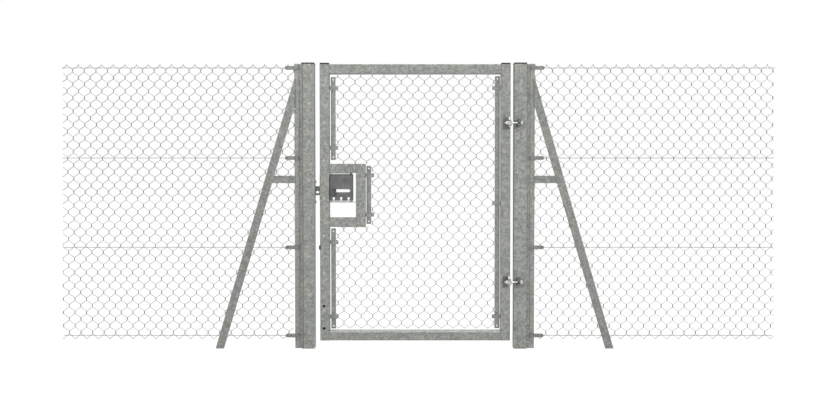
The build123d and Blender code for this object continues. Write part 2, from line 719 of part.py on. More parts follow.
def build():
    """Every piece of the gate by name."""
    left_bar_edge = STILE_INNER_LEFT + BAR_STAND_OFF + BAR_WIDTH
    lock_bar_edge = LOCK_OUTER_X + LOCK_BAR_STAND_OFF + BAR_WIDTH
    pieces = {
        "hinge_post": post(0),
        "hinge_post_cap": post_cap(0),
        "latch_post": latch_post(),
        "latch_post_cap": post_cap(LATCH_POST_X),
        "bolt_keep": bolt_keep(),
        "latch_stile": latch_stile(),
        "hinge_stile": stile(STILE_INNER_RIGHT),
        "stile_caps": stile_caps(),
        "top_rail": rail(STILE_INNER_LEFT, STILE_INNER_RIGHT, LEAF_TOP - LEAF_SECTION),
        "bottom_rail": rail(STILE_INNER_LEFT, STILE_INNER_RIGHT, LEAF_BOTTOM),
        "lock_frame_top": rail(
            STILE_INNER_LEFT, LOCK_INNER_X, LOCK_TOP - LOCK_HEAD_HEIGHT, LOCK_HEAD_HEIGHT
        ),
        "lock_frame_bottom": rail(STILE_INNER_LEFT, LOCK_INNER_X, LOCK_BOTTOM),
        "lock_frame_side": lock_frame_side(),
        "lock_shelf": lock_shelf(),
        "lock_case": lock_case(),
        "lock_strips": lock_strips(),
        "lock_faceplate": lock_faceplate(),
        "leaf_stop": leaf_stop(),
        "leaf_bars": leaf_bars(),
        "leaf_lugs": leaf_lugs(),
        "leaf_fabric_above": leaf_fabric(left_bar_edge, (LOCK_TOP, UPPER_BAR[1] + BAR_HOLE_INSET / 2)),
        "leaf_fabric_beside": leaf_fabric(lock_bar_edge, (LOCK_BOTTOM, LOCK_TOP)),
        "leaf_fabric_below": leaf_fabric(left_bar_edge, (LOWER_BAR[0], LOCK_BOTTOM)),
        "bolt_tongue": bolt_tongue(),
        "bolt_handle": bolt_handle(),
    }
    for name, level in zip(("lower", "upper"), HINGE_LEVELS):
        pieces[name + "_hinge_bracket"] = hinge_bracket(level)
        pieces[name + "_hinge_pin"] = hinge_pin(level)
        pieces[name + "_eye_bolt"] = eye_bolt(level)
        pieces[name + "_hinge_lug"] = hinge_lug(level)
    for name, side in (("left", -1), ("right", 1)):
        pieces[name + "_angle_post"] = angle_post(side)
        pieces[name + "_fence_bar"] = fence_bar(side)
        pieces[name + "_strut"] = strut(side)
        pieces[name + "_strut_tie"] = strut_tie(side)
        pieces[name + "_wire_lugs"] = fence_lugs(side)
        pieces[name + "_line_wires"] = line_wires(side)
        for band, place in enumerate(("lower", "middle", "upper")):
            pieces[name + "_fabric_" + place] = fence_fabric(side, band)
    return pieces


def main():
    """Write every piece to its own file."""
    os.makedirs("parts", exist_ok=True)
    for name, shape in build().items():
        export_step(shape, "parts/" + name + ".step")


main()
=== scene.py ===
"""Looks of a chain link pedestrian gate: galvanised steel, woven wire fabric,
bright hinges and a dark lock case.  All lengths are in metres."""
import json
import math

import bpy
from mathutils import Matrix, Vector


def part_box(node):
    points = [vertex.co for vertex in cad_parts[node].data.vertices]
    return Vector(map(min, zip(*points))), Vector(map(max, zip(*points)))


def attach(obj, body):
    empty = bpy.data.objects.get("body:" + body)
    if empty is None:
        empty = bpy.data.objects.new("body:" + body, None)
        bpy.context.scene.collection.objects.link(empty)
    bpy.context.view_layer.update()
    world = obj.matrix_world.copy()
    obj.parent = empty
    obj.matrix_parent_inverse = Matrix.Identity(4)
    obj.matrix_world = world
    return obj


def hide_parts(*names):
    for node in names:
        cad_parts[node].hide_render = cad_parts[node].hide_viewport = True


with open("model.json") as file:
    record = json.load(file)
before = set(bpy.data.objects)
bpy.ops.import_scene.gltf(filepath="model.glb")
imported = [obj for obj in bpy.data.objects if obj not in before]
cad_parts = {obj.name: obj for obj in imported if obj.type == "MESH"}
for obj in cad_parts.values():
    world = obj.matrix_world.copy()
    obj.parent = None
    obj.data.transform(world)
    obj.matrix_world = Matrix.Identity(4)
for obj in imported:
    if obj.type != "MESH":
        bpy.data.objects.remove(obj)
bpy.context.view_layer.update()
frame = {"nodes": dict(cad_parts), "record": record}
NODES = frame["nodes"]

# Camera, tipped down a little at the gate's middle
CAMERA_X = -0.644
AIM_HEIGHT = 0.938
CAMERA_TILT = 1.45
CAMERA_DISTANCE = 5.54
LENS = 37.69
SENSOR = 36.0

# Woven fabric
CELL_HEIGHT = 0.0846
KNOT = 0.0195
WIRE_RADIUS = 0.0018
WIRE_SIDES = 6
WEAVE_DEPTH = 0.0024
HOOK_REACH = 0.0016
HOOK_NECK = 1.2
HOOK_SHOULDER = 0.6
HOOK_CROWN = 1.4
SHOULDER_DEPTH = 0.7
STROKE_BIAS = 0.06
STROKE_REACH = 0.01

# Fence fabric: cell width and first column of each side, rows and cuts
FENCE_CELLS = {"left": (0.07316, -2.8510), "right": (0.07293, 0.0918)}
FENCE_TOP_KNOT = 1.792
FENCE_BOTTOM_ROW = 20
FENCE_CUT_TOP = 1.7905
FENCE_TIP_RISE = 0.0015
EDGE_LEAN = 0.0104
EDGE_LEVEL = 1.117
UNCUT = 1.0

# Leaf fabric
LEAF_CELL = 0.07287
LEAF_PHASE = -1.1504
LEAF_TOP_KNOT = 1.7238
LEAF_BOTTOM_ROW = 19
LEAF_TIP_RISE = 0.0045

# Dark strips and tab of the lock case; the strips along its left and top edges are painted shadow
SHADOW_STRIP_WIDTH = 0.006
DARK_STRIP_PROUD = 0.001
RIGHT_DARK_STRIP = 0.004
TAB_INSET = 0.016
TAB_WIDTH = 0.007
TAB_DEPTH = 0.003
TAB_RISE = 0.008

# Rings and rivets in the holes of the lugs
EYELET_RADIUS = 0.0034
EYELET_WIRE = 0.0016
EYELET_STEPS = 16
EYELET_SIDES = 8
RIVET_RADIUS = 0.0049
RIVET_SIDES = 16
LEAF_HOLE_REACH = 0.04775
LUG_END = 0.012
LUG_THICKNESS = 0.005
LEFT_LUG_LEVELS = (0.200, 0.671, 1.268, 1.644)
RIGHT_LUG_LEVELS = (0.200, 0.918, 1.644)
LOCK_LUG_LEVELS = (0.846, 1.094)
FENCE_LUG_LEVELS = (0.082, 0.640, 1.203, 1.768)

# Black plugs in the drop bolt's holes, painted shade of the hollow stile's inside; the pad of the stop and
# the rims of the post caps
DROP_HOLE_LEVELS = (0.128, 0.268)
DROP_HOLE_INSET = 0.0245
HOLE_SHADE_RADIUS = 0.0085
HOLE_SHADE_PROUD = 0.0006
HOLE_SHADE_SEAT = 0.002
HOLE_SHADE_SIDES = 20
PAD_REACH = 0.0045
PAD_DEPTH = 0.02
RIM_DROP = 0.0012
RIM_PROUD = 0.0005
RIM_CORNER = 0.006
CORNER_STEPS = 5

# Edges of the leaf's frame
BAR_EDGE = 0.002
# Height of the painted highlight along the bottom rail's top edge
HIGHLIGHT_BAND_HEIGHT = 0.0075
WELD_REACH = 0.008
WELD_PROUD = 0.0002
WELD_SHIFT = 0.002
WELD_FOOT = 0.003
WELD_DEPTH = 0.004

# Finish colours, linear; darker spans and painted edge spans are ranges of X with a share of the colour,
# the edge spans painting shade on the latch post's left edge and a highlight on its right edge
ZINC_DARK = (0.131, 0.133, 0.123)
ZINC_MID = (0.18, 0.183, 0.17)
ZINC_PALE = (0.243, 0.247, 0.231)
ZINC_BLOOM = (0.27, 0.275, 0.262)
# Spans of X where the eye bolt is made darker
DARKER_SPANS = ((-0.086, -0.0585, 0.42), (-0.021, -0.009, 0.16))
# Painted shade on the latch post's left edge, painted highlight on its right edge
PAINTED_EDGE_SPANS = ((-1.3705, -1.3645, 0.5), (-1.2985, -1.2895, 1.4))
SOFT_EDGE = 0.001
BLOOM_RADIUS = 0.011
BLOOM_COLUMNS = ((-1.328, 0.101, 0.2408), (-1.2366, 0.240, 0.2365))
WIRE_DARK = (0.20, 0.205, 0.20)
WIRE_GREY = (0.30, 0.31, 0.30)
# Knot and stroke tones of each fabric; the knot tone paints the shading of the crossings
WIRE_TONES = {"left": (0.70, 0.70), "right": (0.65, 1.03), "leaf": (0.92, 0.9), "line": (0.8, 0.8)}
BRIGHT_ZINC = (0.74, 0.74, 0.74)
CASE_GREY = (0.054, 0.053, 0.052)
# Painted shadow along the lock case's left and top edges
CASE_SHADOW_BLACK = (0.02, 0.02, 0.02)
HANDLE_BLACK = (0.024, 0.024, 0.025)
TONGUE_GREY = (0.1, 0.1, 0.1)
CAP_BLACK = (0.008, 0.008, 0.008)
FLOOR_WHITE = (0.86, 0.86, 0.86)

# Studio: the sky's light, the floor and the lamps with place, size and power
SKY_COLOUR = (0.95, 0.97, 1.0)
SKY_STRENGTH = 0.8
FLOOR_REACH = 40.0
FLOOR_GLOW = 1.06
GLOW_BASE = 0.35
GLOW_GAIN = 0.6
LAMPS = (
    ("key", (-3.4, -4.2, 3.8), 3.0, 150.0),
    ("fill", (3.0, -4.6, 2.6), 3.2, 125.0),
    ("top", (-0.6, 0.4, 5.2), 3.5, 190.0),
    ("left_side", (-5.2, -1.2, 1.2), 2.6, 45.0),
    ("right_side", (4.0, -1.2, 1.2), 2.6, 45.0),
)


class Sock:
    """A shader socket that takes part in plain arithmetic."""

    def __init__(self, tree, socket):
        self.tree = tree
        self.socket = socket

    def math(self, operation, *others):
        node = self.tree.nodes.new("ShaderNodeMath")
        node.operation = operation
        for index, value in enumerate((self,) + others):
            plug(self.tree, node.inputs[index], value)
        return Sock(self.tree, node.outputs[0])

    def __add__(self, other):
        return self.math("ADD", other)

    def __mul__(self, other):
        return self.math("MULTIPLY", other)

    def __sub__(self, other):
        return self.math("SUBTRACT", other)

    def clamp(self):
        node = self.tree.nodes.new("ShaderNodeClamp")
        plug(self.tree, node.inputs["Value"], self)
        return Sock(self.tree, node.outputs[0])


def plug(tree, target, value):
    """Link a socket or set a plain value."""
    if isinstance(value, Sock):
        tree.links.new(value.socket, target)
    else:
        target.default_value = value


class Shader:
    """One material with its node tree."""

    def __init__(self, name):
        self.material = bpy.data.materials.new(name)
        self.material.use_nodes = True
        self.tree = self.material.node_tree
        self.tree.nodes.clear()
        self.out = self.tree.nodes.new("ShaderNodeOutputMaterial")

    def node(self, kind, **values):
        """A new node with some of its inputs plugged."""
        node = self.tree.nodes.new(kind)
        for key, value in values.items():
            plug(self.tree, node.inputs[key], value)
        return node

    def place(self, scale=(1.0, 1.0, 1.0)):
        """Object coordinates, stretched."""
        coordinates = self.tree.nodes.new("ShaderNodeTexCoord").outputs["Object"]
        node = self.node("ShaderNodeMapping")
        self.tree.links.new(coordinates, node.inputs["Vector"])
        node.inputs["Scale"].default_value = scale
        return Sock(self.tree, node.outputs[0])

    def along(self, vector, axis):
        """One part of a vector."""
        node = self.node("ShaderNodeSeparateXYZ", Vector=vector)
        return Sock(self.tree, node.outputs[axis])

    def noise(self, where, scale, detail=4.0, roughness=0.5, distortion=0.0):
        node = self.node("ShaderNodeTexNoise", Vector=where, Scale=scale, Detail=detail)
        node.inputs["Roughness"].default_value = roughness
        node.inputs["Distortion"].default_value = distortion
        return Sock(self.tree, node.outputs[0])

    def cells(self, where, scale, output="Distance"):
        node = self.node("ShaderNodeTexVoronoi", Vector=where, Scale=scale)
        return Sock(self.tree, node.outputs[output])

    def grey(self, colour):
        """One channel of a colour."""
        node = self.node("ShaderNodeSeparateColor", Color=colour)
        return Sock(self.tree, node.outputs[0])

    def band(self, value, low, high, bottom=0.0, top=1.0):
        """Value spread from one range onto another, clamped."""
        node = self.node("ShaderNodeMapRange", Value=value)
        for key, number in zip(("From Min", "From Max", "To Min", "To Max"), (low, high, bottom, top)):
            plug(self.tree, node.inputs[key], number)
        return Sock(self.tree, node.outputs[0])

    def span(self, value, low, high):
        """One between two values and nought outside, soft at each end."""
        start = self.band(value, low - SOFT_EDGE, low + SOFT_EDGE)
        end = self.band(value, high - SOFT_EDGE, high + SOFT_EDGE)
        return (start - end).clamp()

    def blend(self, factor, first, second, mode="MIX"):
        node = self.tree.nodes.new("ShaderNodeMix")
        node.data_type = "RGBA"
        node.blend_type = mode
        plug(self.tree, node.inputs[0], factor)
        for index, value in ((6, first), (7, second)):
            plug(self.tree, node.inputs[index], value if isinstance(value, Sock) else (*value, 1.0))
        return Sock(self.tree, node.outputs[2])

    def bump(self, height, strength, distance):
        node = self.node("ShaderNodeBump", Height=height)
        node.inputs["Strength"].default_value = strength
        node.inputs["Distance"].default_value = distance
        return Sock(self.tree, node.outputs[0])

    def surface(self, colour, roughness, metallic, normal=None, specular=0.5):
        """Finish the material with one principled surface."""
        node = self.tree.nodes.new("ShaderNodeBsdfPrincipled")
        base = colour if isinstance(colour, Sock) else (*colour, 1.0)
        plug(self.tree, node.inputs["Base Color"], base)
        plug(self.tree, node.inputs["Roughness"], roughness)
        plug(self.tree, node.inputs["Metallic"], metallic)
        node.inputs["Specular IOR Level"].default_value = specular
        if normal is not None:
            plug(self.tree, node.inputs["Normal"], normal)
        self.tree.links.new(node.outputs[0], self.out.inputs["Surface"])
        return self.material


def shaded(colour, share):
    """A colour made lighter or darker."""
    return tuple(channel * share for channel in colour)


def bloom_column(s, here, x, z, pitch):
    """Round spots one above another, spaced evenly from one at x and z."""
    across = s.along(here, "X") - x
    turn = ((s.along(here, "Z") - z) * (1.0 / pitch) + 0.5).math("FRACT")
    along = (turn - 0.5) * pitch
    reach = (across * across + along * along).math("SQRT")
    return s.band(reach, BLOOM_RADIUS * 0.5, BLOOM_RADIUS * 1.15, 1.0, 0.0)


def galvanised(name, shade=1.0, grain=1.0, columns=(), painted_edges=()):
    """Hot dip zinc: mottled grey green with flecks and a few pale round blooms."""
    s = Shader(name)
    here = s.place((grain, grain, grain))
    across = s.along(here, "X")
    cloud = s.noise(here, 9.0, 5.0, 0.6)
    patch = s.noise(here, 38.0, 4.0, 0.6, 0.6)
    fleck = s.grey(s.cells(here, 95.0, "Color"))
    speck = s.noise(here, 230.0, 3.0, 0.6)
    tone = s.band(patch * 0.44 + cloud * 0.18 + fleck * 0.26 + speck * 0.12, 0.35, 0.65)
    colour = s.blend(s.band(tone, 0.0, 0.5), shaded(ZINC_DARK, shade), shaded(ZINC_MID, shade))
    colour = s.blend(s.band(tone, 0.5, 1.0), colour, shaded(ZINC_PALE, shade))
    bloom = s.band(s.cells(here, 20.0), 0.08, 0.2, 1.0, 0.0)
    chosen = s.band(s.grey(s.cells(here, 20.0, "Color")), 0.66, 0.7)
    spots = bloom * chosen * 0.5
    for x, z, pitch in columns:
        spots = spots + bloom_column(s, here, x, z, pitch)
    colour = s.blend(spots.clamp(), colour, shaded(ZINC_BLOOM, shade))
    warm = s.blend(s.band(cloud, 0.4, 0.65), (0.95, 1.0, 0.98), (1.0, 0.99, 0.93))
    colour = s.blend(0.6, colour, s.blend(1.0, colour, warm, "MULTIPLY"))
    # Painted shade and painted highlight along the latch post's edges
    for low, high, share in painted_edges:
        colour = s.blend(s.span(across, low, high), colour, shaded(ZINC_MID, share))
    roughness = s.band(patch, 0.3, 0.7, 0.62, 0.42)
    normal = s.bump(patch * 0.5 + speck * 0.5, 0.25, 0.0008)
    return s.surface(colour, roughness, 0.35, normal)


def wire_zinc(name, knot_level, knot_tone, stroke_tone):
    """Drawn and galvanised wire; where two wires hook together its colour takes the knot tone, painted
    shading of the crossings.
    """
    s = Shader(name)
    here = s.place()
    streak = s.band(s.noise(here, 55.0, 3.0, 0.6), 0.3, 0.7)
    row = ((s.along(here, "Z") - knot_level) * (2.0 / CELL_HEIGHT)).math("FRACT")
    # Painted shading of the knots: a band round each knot's level takes the knot tone
    knot = s.band((row - 0.5).math("ABSOLUTE"), 0.26, 0.34)
    dark = s.blend(knot, shaded(WIRE_DARK, stroke_tone), shaded(WIRE_DARK, knot_tone))
    pale = s.blend(knot, shaded(WIRE_GREY, stroke_tone), shaded(WIRE_GREY, knot_tone))
    colour = s.blend(streak, dark, pale)
    return s.surface(colour, s.band(streak, 0.0, 1.0, 0.5, 0.35), 0.4, s.bump(streak, 0.2, 0.0003))


def hinge_zinc(name, darker_spans):
    """Bright zinc with painted shade on faces turned down or to the right, and darker between some values
    of X.
    """
    s = Shader(name)
    here = s.place()
    haze = s.band(s.noise(here, 60.0, 4.0, 0.55), 0.3, 0.7)
    facing = Sock(s.tree, s.tree.nodes.new("ShaderNodeTexCoord").outputs["Normal"])
    # Painted shade: faces turned down or to the right take the darker colour
    lit = s.band(s.along(facing, "Z") - s.along(facing, "X"), -0.35, 0.35)
    colour = s.blend(haze, shaded(BRIGHT_ZINC, 0.9), shaded(BRIGHT_ZINC, 1.1))
    colour = s.blend(lit, shaded(BRIGHT_ZINC, 0.3), colour)
    for low, high, share in darker_spans:
        darker = s.span(s.along(here, "X"), low, high)
        colour = s.blend(darker, colour, shaded(BRIGHT_ZINC, share))
    return s.surface(colour, s.band(haze, 0.0, 1.0, 0.5, 0.38), 0.3, s.bump(haze, 0.15, 0.0003))


def dark_coat(name, colour, roughness):
    """Dark powder coat with a fine orange peel."""
    s = Shader(name)
    here = s.place()
    peel = s.noise(here, 420.0, 2.0, 0.5)
    dust = s.noise(here, 22.0, 5.0, 0.6)
    lighter = tuple(channel * 1.7 + 0.01 for channel in colour)
    mixed = s.blend(s.band(dust, 0.35, 0.75), colour, lighter)
    shine = s.band(dust, 0.3, 0.7, roughness, roughness + 0.12)
    return s.surface(mixed, shine, 0.0, s.bump(peel, 0.12, 0.0004))


def cap_plastic():
    """Moulded black cap."""
    s = Shader("cap_plastic")
    grain = s.noise(s.place(), 300.0, 2.0, 0.5)
    colour = s.blend(grain, CAP_BLACK, (0.014, 0.014, 0.014))
    return s.surface(colour, s.band(grain, 0.3, 0.7, 0.7, 0.85), 0.0, s.bump(grain, 0.1, 0.0003), 0.05)


STEEL = galvanised("galvanised_steel", columns=BLOOM_COLUMNS, painted_edges=PAINTED_EDGE_SPANS)
STRIP_STEEL = galvanised("galvanised_strip", 0.99, 1.6)
STRUT_STEEL = galvanised("galvanised_strut", 0.86)
ANGLE_STEEL = galvanised("galvanised_angle", 1.09)
LUG_STEEL = galvanised("galvanised_lug", 0.8, 1.6)
BRACKET_STEEL = galvanised("galvanised_bracket", 0.5, 1.6)
RIVET_STEEL = galvanised("galvanised_rivet", 1.15, 1.6)
# Paler zinc; on the bottom rail's band and on the bolt keep it is painted light
PALE_STEEL = galvanised("galvanised_pale", 1.75, 1.6)
WIRE = wire_zinc("line_wire", FENCE_TOP_KNOT, *WIRE_TONES["line"])
WEAVE_WIRE = {
    "left": wire_zinc("left_wire", FENCE_TOP_KNOT, *WIRE_TONES["left"]),
    "right": wire_zinc("right_wire", FENCE_TOP_KNOT, *WIRE_TONES["right"]),
    "leaf": wire_zinc("leaf_wire", LEAF_TOP_KNOT, *WIRE_TONES["leaf"]),
}
HINGE = hinge_zinc("eye_bolt_zinc", DARKER_SPANS)
PIN = hinge_zinc("pin_zinc", ())
CASE = dark_coat("lock_coat", CASE_GREY, 0.42)
# Dark coat of the strips round the lock case, painted shadow on its left and top edges
CASE_SHADOW = dark_coat("case_shadow_black", CASE_SHADOW_BLACK, 0.5)
HANDLE = dark_coat("handle_black", HANDLE_BLACK, 0.38)
TONGUE = dark_coat("tongue_grey", TONGUE_GREY, 0.4)
CAP = cap_plastic()
SLOT_FINISH = {
    "galvanised_steel": STEEL,
    "fabric_wire": WIRE,
    "bright_zinc": PIN,
    "lock_black": CASE,
    "cap_plastic": CAP,
}
NAME_FINISH = (
    (("bolt_handle", "leaf_stop"), HANDLE),
    (("bolt_tongue",), TONGUE),
    (("_strut", "_tie"), STRUT_STEEL),
    (("_angle_post",), ANGLE_STEEL),
    (("_wire_lugs",), LUG_STEEL),
    (("_bars", "_lugs", "_fence_bar"), STRIP_STEEL),
    (("_hinge_bracket", "_hinge_lug"), BRACKET_STEEL),
    # The bolt keep's paler zinc is painted light over its shade
    (("lock_strips", "bolt_keep"), PALE_STEEL),
    (("_eye_bolt",), HINGE),
)


def dress_nodes():
    """Give every carried-over node the finish of its name's ending, or else of its slot."""
    slots = {part["node"]: part["material_slot"] for part in frame["record"]["subparts"]}
    for name, node in NODES.items():
        named = [finish for endings, finish in NAME_FINISH if name.endswith(endings)]
        material = named[0] if named else SLOT_FINISH[slots[name]]
        node.data.materials.clear()
        node.data.materials.append(material)


def limits(name):
    """Lowest and highest corner of a node."""
    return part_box(name)


def wire_points(left, rise_row, bottom_row, front, knot_level, cell, tip_rise=None):
    """Centre line of one fabric wire, from its lowest knot to its highest.

    The wire swings between the knot columns at left and left + half a cell.
    Rows count half cells down from knot_level, and rise_row tells whether the
    even ones are on the left.  With a tip_rise the lowest row is a plain point."""
    half = cell / 2
    points = []
    for row in range(bottom_row, -1, -1):
        level = knot_level - row * CELL_HEIGHT / 2
        on_left = (row % 2 == 0) == rise_row
        column = left if on_left else left + half
        if row == bottom_row and tip_rise is not None:
            points.append((column, front, level + tip_rise))
            continue
        outward = -HOOK_REACH if on_left else HOOK_REACH
        below = WEAVE_DEPTH if on_left else -WEAVE_DEPTH
        above = -below
        neck = column - outward * HOOK_NECK
        shoulder = column + outward * HOOK_SHOULDER
        points.append((neck, front + below, level - KNOT / 2))
        points.append((shoulder, front + below * SHOULDER_DEPTH, level - KNOT / 4))
        points.append((column + outward * HOOK_CROWN, front, level))
        points.append((shoulder, front + above * SHOULDER_DEPTH, level + KNOT / 4))
        points.append((neck, front + above, level + KNOT / 2))
    return points


def clip_run(points, low, high):
    """Pieces of a polyline between two values of X."""
    runs = []
    run = []
    for start, end in zip(points, points[1:]):
        inside = low <= start[0] <= high
        if inside:
            run.append(start)
        crossing = None
        for limit in (low, high):
            if (start[0] - limit) * (end[0] - limit) < 0:
                share = (limit - start[0]) / (end[0] - start[0])
                crossing = tuple(a + (b - a) * share for a, b in zip(start, end))
        if crossing:
            run.append(crossing)
            if inside:
                runs.append(run)
                run = []
    if low <= points[-1][0] <= high:
        run.append(points[-1])
    runs.append(run)
    return [piece for piece in runs if len(piece) > 1]


def sweep_tree():
    """Geometry Nodes: a round wire along every spline, made real."""
    tree = bpy.data.node_groups.new("wire_sweep", "GeometryNodeTree")
    face = tree.interface
    face.new_socket("Geometry", in_out="INPUT", socket_type="NodeSocketGeometry")
    face.new_socket("Wire Radius", in_out="INPUT", socket_type="NodeSocketFloat")
    face.new_socket("Wire Sides", in_out="INPUT", socket_type="NodeSocketInt")
    face.new_socket("Finish", in_out="INPUT", socket_type="NodeSocketMaterial")
    face.new_socket("Geometry", in_out="OUTPUT", socket_type="NodeSocketGeometry")
    start = tree.nodes.new("NodeGroupInput")
    end = tree.nodes.new("NodeGroupOutput")
    circle = tree.nodes.new("GeometryNodeCurvePrimitiveCircle")
    sweep = tree.nodes.new("GeometryNodeCurveToMesh")
    sweep.inputs["Fill Caps"].default_value = True
    real = tree.nodes.new("GeometryNodeRealizeInstances")
    paint = tree.nodes.new("GeometryNodeSetMaterial")
    tree.links.new(start.outputs["Wire Radius"], circle.inputs["Radius"])
    tree.links.new(start.outputs["Wire Sides"], circle.inputs["Resolution"])
    tree.links.new(start.outputs["Geometry"], sweep.inputs["Curve"])
    tree.links.new(circle.outputs[0], sweep.inputs["Profile Curve"])
    width = tree.nodes.new("GeometryNodeInputRadius")
    if "Scale" in sweep.inputs:
        tree.links.new(width.outputs[0], sweep.inputs["Scale"])
    tree.links.new(sweep.outputs[0], real.inputs[0])
    tree.links.new(real.outputs[0], paint.inputs["Geometry"])
    tree.links.new(start.outputs["Finish"], paint.inputs["Material"])
    tree.links.new(paint.outputs[0], end.inputs[0])
    return tree


def stroke_width(run, index):
    """Relative width of a wire: a little more on strokes that rise to the right."""
    for other in (index - 1, index + 1):
        if 0 <= other < len(run):
            along = run[other][0] - run[index][0]
            rise = run[other][2] - run[index][2]
            if abs(along) > STROKE_REACH:
                return 1.0 + math.copysign(STROKE_BIAS, along * rise)
    return 1.0


def swept(name, runs, radius, sides, finish):
    """Plain mesh of round wires along polylines."""
    curve = bpy.data.curves.new(name + "_path", "CURVE")
    curve.dimensions = "3D"
    for run in runs:
        spline = curve.splines.new("POLY")
        spline.points.add(len(run) - 1)
        for index, (point, place) in enumerate(zip(spline.points, run)):
            point.co = (*place, 1.0)
            point.radius = stroke_width(run, index)
    path = bpy.data.objects.new(name + "_path", curve)
    bpy.context.scene.collection.objects.link(path)
    modifier = path.modifiers.new("sweep", "NODES")
    modifier.node_group = SWEEP
    inputs = {item.name: item.identifier for item in SWEEP.interface.items_tree if item.in_out == "INPUT"}
    modifier[inputs["Wire Radius"]] = radius
    modifier[inputs["Wire Sides"]] = sides
    modifier[inputs["Finish"]] = finish
    bpy.context.view_layer.update()
    evaluated = path.evaluated_get(bpy.context.evaluated_depsgraph_get())
    mesh = bpy.data.meshes.new_from_object(evaluated)
    mesh.name = name
    piece = bpy.data.objects.new(name, mesh)
    bpy.context.scene.collection.objects.link(piece)
    bpy.data.objects.remove(path)
    mesh.materials.clear()
    mesh.materials.append(finish)
    for polygon in mesh.polygons:
        polygon.use_smooth = len(polygon.vertices) == 4
    return piece


def column_range(phase, low, high, cell):
    """Numbers of the wires whose width reaches between two values of X."""
    half = cell / 2
    first = math.floor((low - phase) / half)
    last = math.ceil((high - phase) / half)
    return range(first, last)


def cut_levels(points, low, high):
    """Keep the stretch of a rising polyline between two levels."""
    turned = [(z, y, x) for x, y, z in points]
    return [[(x, y, z) for z, y, x in run] for run in clip_run(turned, low, high)]


def leaned(points, lean):
    """Points moved sideways in proportion to their height."""
    return [(x + lean * (z - EDGE_LEVEL), y, z) for x, y, z in points]


def fence_fabric(side, low, high, front):
    """Woven fabric of one fence side, cut at both ends, the outer end a little out of plumb."""
    runs = []
    cell, phase = FENCE_CELLS[side]
    lean = EDGE_LEAN if side == "left" else -EDGE_LEAN
    inner = (low.x - UNCUT, high.x) if side == "left" else (low.x, high.x + UNCUT)
    bottom_row = 2 * FENCE_BOTTOM_ROW + 1
    for number in column_range(phase, low.x - cell, high.x + cell, cell):
        left = phase + number * cell / 2
        points = wire_points(left, number % 2 == 0, bottom_row, front, FENCE_TOP_KNOT, cell, FENCE_TIP_RISE)
        for run in clip_run(points, *inner):
            for piece in clip_run(leaned(run, -lean), low.x, high.x):
                runs += cut_levels(leaned(piece, lean), low.z, FENCE_CUT_TOP)
    return swept(side + "_woven_fabric", runs, WIRE_RADIUS, WIRE_SIDES, WEAVE_WIRE[side])


def leaf_fabric(regions, front):
    """Woven fabric of the leaf, cut round the lock frame."""
    runs = []
    bottom_row = 2 * LEAF_BOTTOM_ROW + 1
    for x_low, x_high, z_low, z_high in regions:
        for number in column_range(LEAF_PHASE, x_low, x_high, LEAF_CELL):
            left = LEAF_PHASE + number * LEAF_CELL / 2
            points = wire_points(left, number % 2 == 0, bottom_row, front, LEAF_TOP_KNOT, LEAF_CELL)
            for run in clip_run(points, x_low, x_high):
                runs += cut_levels(run, z_low, z_high)
    return swept("leaf_woven_fabric", runs, WIRE_RADIUS, WIRE_SIDES, WEAVE_WIRE["leaf"])


def weave():
    """The three pieces of woven fabric."""
    for side in ("left", "right"):
        bands = [side + "_fabric_" + place for place in ("lower", "middle", "upper")]
        low, high = limits(bands[0])
        piece = fence_fabric(side, low, high, (low.y + high.y) / 2)
        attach(piece, "root")
        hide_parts(*bands)
    above = limits("leaf_fabric_above")
    beside = limits("leaf_fabric_beside")
    below = limits("leaf_fabric_below")
    left, middle, right = above[0].x, beside[0].x, above[1].x
    top = above[1].z + LEAF_TIP_RISE
    regions = [
        (left, middle, above[0].z, top),
        (middle, right, below[0].z, top),
        (left, middle, below[0].z, below[1].z),
    ]
    piece = leaf_fabric(regions, (above[0].y + above[1].y) / 2)
    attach(piece, "leaf")
    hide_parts("leaf_fabric_above", "leaf_fabric_beside", "leaf_fabric_below")


BOX_FACES = ((3, 2, 1, 0), (4, 5, 6, 7), (0, 1, 5, 4), (1, 2, 6, 5), (2, 3, 7, 6), (3, 0, 4, 7))


def boxes(name, corners, finish):
    """Plain mesh of level boxes, each from its lowest to its highest corner."""
    points = []
    faces = []
    for low, high in corners:
        first = len(points)
        outline = ((low[0], low[1]), (high[0], low[1]), (high[0], high[1]), (low[0], high[1]))
        points += [(x, y, z) for z in (low[2], high[2]) for x, y in outline]
        faces += [[first + index for index in ring] for ring in BOX_FACES]
    mesh = bpy.data.meshes.new(name)
    mesh.from_pydata(points, [], faces)
    piece = bpy.data.objects.new(name, mesh)
    bpy.context.scene.collection.objects.link(piece)
    mesh.materials.append(finish)
    return piece


def case_shadow_strips():
    """Dark strips along the case's left and top edges, painted shadow at its edges, another dark strip on
    its right and a small tab.
    """
    low, high = limits("lock_case")
    front = low.y - DARK_STRIP_PROUD
    tab = high.x - TAB_INSET
    corners = [
        ((low.x, front, low.z), (low.x + SHADOW_STRIP_WIDTH, low.y, high.z)),
        ((low.x + SHADOW_STRIP_WIDTH, front, high.z - SHADOW_STRIP_WIDTH), (high.x, low.y, high.z)),
        ((high.x, low.y, low.z), (high.x + RIGHT_DARK_STRIP, low.y + TAB_DEPTH, high.z)),
        ((tab, low.y, high.z), (tab + TAB_WIDTH, low.y + TAB_DEPTH, high.z + TAB_RISE)),
    ]
    piece = boxes("case_shadow_strips", corners, CASE_SHADOW)
    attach(piece, "leaf")


